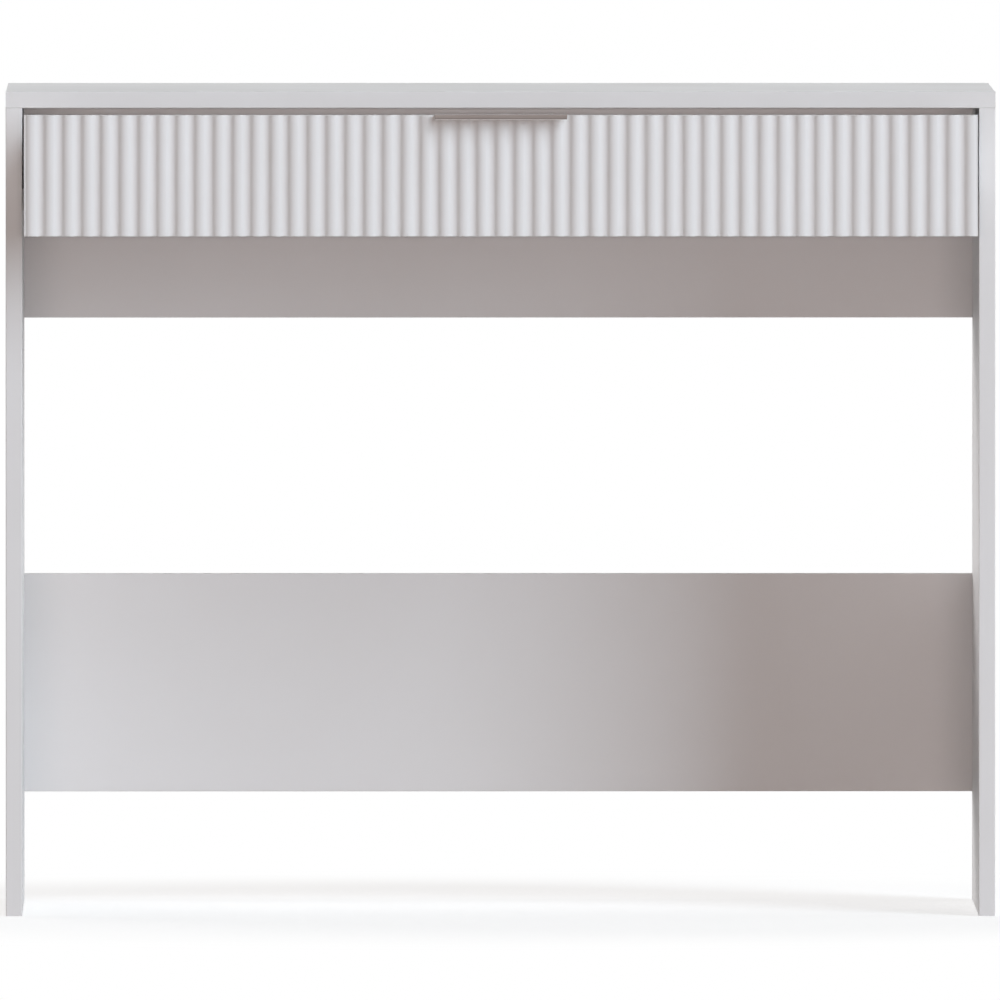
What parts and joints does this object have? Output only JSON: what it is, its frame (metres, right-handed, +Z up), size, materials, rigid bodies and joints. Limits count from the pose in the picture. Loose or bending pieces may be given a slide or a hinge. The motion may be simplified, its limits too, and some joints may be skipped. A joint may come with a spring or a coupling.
{
  "type": "dressing table",
  "caption": "White dressing table on two side panels with back boards and a wide fluted drawer that rolls out on roller runners, opened by a slim edge handle.",
  "frame": {"origin": "on the floor, in the middle of the footprint at rest, with the drawer ajar as pictured", "axes": "+X along the table to the right as seen from the front, +Y to the back, +Z up"},
  "size_m": [0.9, 0.482, 0.75],
  "materials": {
    "white_board": "satin white melamine on particle board",
    "white_edge": "satin white edge band",
    "white_front": "satin white lacquer on fluted fibreboard",
    "white_box": "satin white foil on particle board",
    "white_hdf": "white lacquered hardboard",
    "aluminium": "fine brushed",
    "white_steel": "white epoxy coat on folded steel",
    "zinc_steel": "bright zinc plate",
    "cast_zinc": "plain die-cast zinc",
    "black_plastic": "moulded nylon",
    "beech": "plain turned beech"
  },
  "bodies": {
    "carcass": {"top_panel": "white_board", "left_side_panel": "white_board", "right_side_panel": "white_board", "upper_back_panel": "white_board", "lower_back_panel": "white_board", "top_edge_bands": "white_edge", "left_side_edge_bands": "white_edge", "right_side_edge_bands": "white_edge", "upper_back_edge_bands": "white_edge", "lower_back_edge_bands": "white_edge", "left_cabinet_runner": "white_steel", "right_cabinet_runner": "white_steel", "top_cam_bolts": "zinc_steel", "back_cam_bolts": "zinc_steel", "cabinet_roller_pins": "zinc_steel", "cabinet_runner_screws": "zinc_steel", "top_cam_locks": "cast_zinc", "back_cam_locks": "cast_zinc", "top_dowels": "beech", "back_dowels": "beech"},
    "drawer": {"drawer_front": "white_front", "drawer_left_side": "white_box", "drawer_right_side": "white_box", "drawer_back": "white_box", "drawer_bottom": "white_hdf", "handle": "aluminium", "handle_screws": "zinc_steel", "left_drawer_runner": "white_steel", "right_drawer_runner": "white_steel", "drawer_runner_screws": "zinc_steel", "drawer_roller_pins": "zinc_steel", "drawer_cam_bolts": "zinc_steel", "drawer_cam_locks": "cast_zinc", "drawer_dowels": "beech", "drawer_back_screws": "zinc_steel", "drawer_bottom_screws": "zinc_steel"},
    "left_front_roller": {"left_front_roller": "black_plastic"},
    "right_front_roller": {"right_front_roller": "black_plastic"},
    "left_rear_roller": {"left_rear_roller": "black_plastic"},
    "right_rear_roller": {"right_rear_roller": "black_plastic"}
  },
  "joints": [
    {"name": "drawer_slide", "type": "slide", "parent": "carcass", "child": "drawer", "axis": [0, -1, 0], "range_m": [-0.07, 0.155]},
    {"name": "left_front_roller_spin", "type": "hinge", "parent": "carcass", "child": "left_front_roller", "pos_m": [-0.4288, -0.127, 0.653], "axis": [1, 0, 0], "range_deg": [-480, 1050]},
    {"name": "right_front_roller_spin", "type": "hinge", "parent": "carcass", "child": "right_front_roller", "pos_m": [0.4288, -0.127, 0.653], "axis": [1, 0, 0], "range_deg": [-480, 1050]},
    {"name": "left_rear_roller_spin", "type": "hinge", "parent": "drawer", "child": "left_rear_roller", "pos_m": [-0.4288, 0.077, 0.6513], "axis": [1, 0, 0], "range_deg": [-480, 1050]},
    {"name": "right_rear_roller_spin", "type": "hinge", "parent": "drawer", "child": "right_rear_roller", "pos_m": [0.4288, 0.077, 0.6513], "axis": [1, 0, 0], "range_deg": [-480, 1050]}
  ],
  "couplings": [
    {"joint": "left_front_roller_spin", "follows": "drawer_slide", "rad_per_m": 117.65},
    {"joint": "right_front_roller_spin", "follows": "drawer_slide", "rad_per_m": 117.65},
    {"joint": "left_rear_roller_spin", "follows": "drawer_slide", "rad_per_m": 117.65},
    {"joint": "right_rear_roller_spin", "follows": "drawer_slide", "rad_per_m": 117.65}
  ]
}
